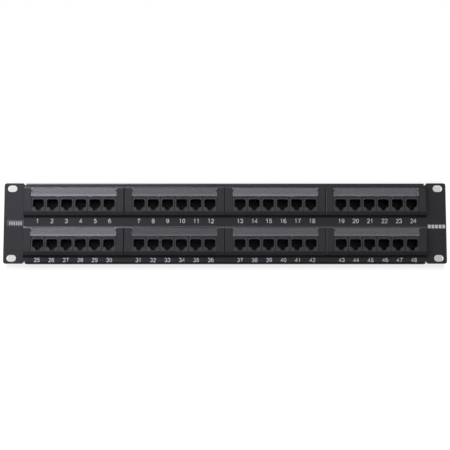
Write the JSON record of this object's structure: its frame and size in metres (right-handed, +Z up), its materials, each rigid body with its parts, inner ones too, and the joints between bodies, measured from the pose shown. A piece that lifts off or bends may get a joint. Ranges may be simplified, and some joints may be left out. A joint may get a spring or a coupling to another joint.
{
  "type": "patch panel",
  "caption": "Rack patch panel, two units high, with snap-in port modules under clear hinged label covers and punch-down terminals on the back.",
  "frame": {"origin": "centre of the four rack slots, on the rear (mating) face of the front plate", "axes": "+X to the right seen from the front, +Y back into the rack, +Z up; the front faces -Y"},
  "size_m": [0.4826, 0.037, 0.0882],
  "materials": {
    "steel_black": "fine-textured black powder coat",
    "abs_black": "fine-grained black moulded plastic",
    "clear_cover": "clear polished plastic",
    "jack_black": "satin black moulded plastic",
    "gold_contact": "gold-plated spring wire",
    "board_green": "green solder mask on glass-fibre board",
    "block_white": "off-white moulded plastic",
    "tin_contact": "bright tin-plated bronze",
    "zinc_screw": "zinc-plated steel",
    "badge_grey": "light grey adhesive foil, blank"
  },
  "bodies": {
    "panel": {"front_plate": "steel_black", "bezel_1": "abs_black", "jack_housings_1": "jack_black", "jack_contacts_1": "gold_contact", "circuit_board_1": "board_green", "idc_blocks_1": "block_white", "idc_contacts_1": "tin_contact", "bezel_2": "abs_black", "jack_housings_2": "jack_black", "jack_contacts_2": "gold_contact", "circuit_board_2": "board_green", "idc_blocks_2": "block_white", "idc_contacts_2": "tin_contact", "bezel_3": "abs_black", "jack_housings_3": "jack_black", "jack_contacts_3": "gold_contact", "circuit_board_3": "board_green", "idc_blocks_3": "block_white", "idc_contacts_3": "tin_contact", "bezel_4": "abs_black", "jack_housings_4": "jack_black", "jack_contacts_4": "gold_contact", "circuit_board_4": "board_green", "idc_blocks_4": "block_white", "idc_contacts_4": "tin_contact", "bezel_5": "abs_black", "jack_housings_5": "jack_black", "jack_contacts_5": "gold_contact", "circuit_board_5": "board_green", "idc_blocks_5": "block_white", "idc_contacts_5": "tin_contact", "bezel_6": "abs_black", "jack_housings_6": "jack_black", "jack_contacts_6": "gold_contact", "circuit_board_6": "board_green", "idc_blocks_6": "block_white", "idc_contacts_6": "tin_contact", "bezel_7": "abs_black", "jack_housings_7": "jack_black", "jack_contacts_7": "gold_contact", "circuit_board_7": "board_green", "idc_blocks_7": "block_white", "idc_contacts_7": "tin_contact", "bezel_8": "abs_black", "jack_housings_8": "jack_black", "jack_contacts_8": "gold_contact", "circuit_board_8": "board_green", "idc_blocks_8": "block_white", "idc_contacts_8": "tin_contact", "board_screws": "zinc_screw", "ear_badge": "badge_grey"},
    "cover_1": {"label_cover_1": "clear_cover"},
    "cover_2": {"label_cover_2": "clear_cover"},
    "cover_3": {"label_cover_3": "clear_cover"},
    "cover_4": {"label_cover_4": "clear_cover"},
    "cover_5": {"label_cover_5": "clear_cover"},
    "cover_6": {"label_cover_6": "clear_cover"},
    "cover_7": {"label_cover_7": "clear_cover"},
    "cover_8": {"label_cover_8": "clear_cover"}
  },
  "joints": [
    {"name": "cover_1_hinge", "type": "hinge", "parent": "panel", "child": "cover_1", "pos_m": [-0.1647, -0.00445, 0.03805], "axis": [-1, 0, 0], "range_deg": [0, 100]},
    {"name": "cover_2_hinge", "type": "hinge", "parent": "panel", "child": "cover_2", "pos_m": [-0.0549, -0.00445, 0.03805], "axis": [-1, 0, 0], "range_deg": [0, 100]},
    {"name": "cover_3_hinge", "type": "hinge", "parent": "panel", "child": "cover_3", "pos_m": [0.0549, -0.00445, 0.03805], "axis": [-1, 0, 0], "range_deg": [0, 100]},
    {"name": "cover_4_hinge", "type": "hinge", "parent": "panel", "child": "cover_4", "pos_m": [0.1647, -0.00445, 0.03805], "axis": [-1, 0, 0], "range_deg": [0, 100]},
    {"name": "cover_5_hinge", "type": "hinge", "parent": "panel", "child": "cover_5", "pos_m": [-0.1647, -0.00445, -0.00555], "axis": [-1, 0, 0], "range_deg": [0, 100]},
    {"name": "cover_6_hinge", "type": "hinge", "parent": "panel", "child": "cover_6", "pos_m": [-0.0549, -0.00445, -0.00555], "axis": [-1, 0, 0], "range_deg": [0, 100]},
    {"name": "cover_7_hinge", "type": "hinge", "parent": "panel", "child": "cover_7", "pos_m": [0.0549, -0.00445, -0.00555], "axis": [-1, 0, 0], "range_deg": [0, 100]},
    {"name": "cover_8_hinge", "type": "hinge", "parent": "panel", "child": "cover_8", "pos_m": [0.1647, -0.00445, -0.00555], "axis": [-1, 0, 0], "range_deg": [0, 100]}
  ]
}
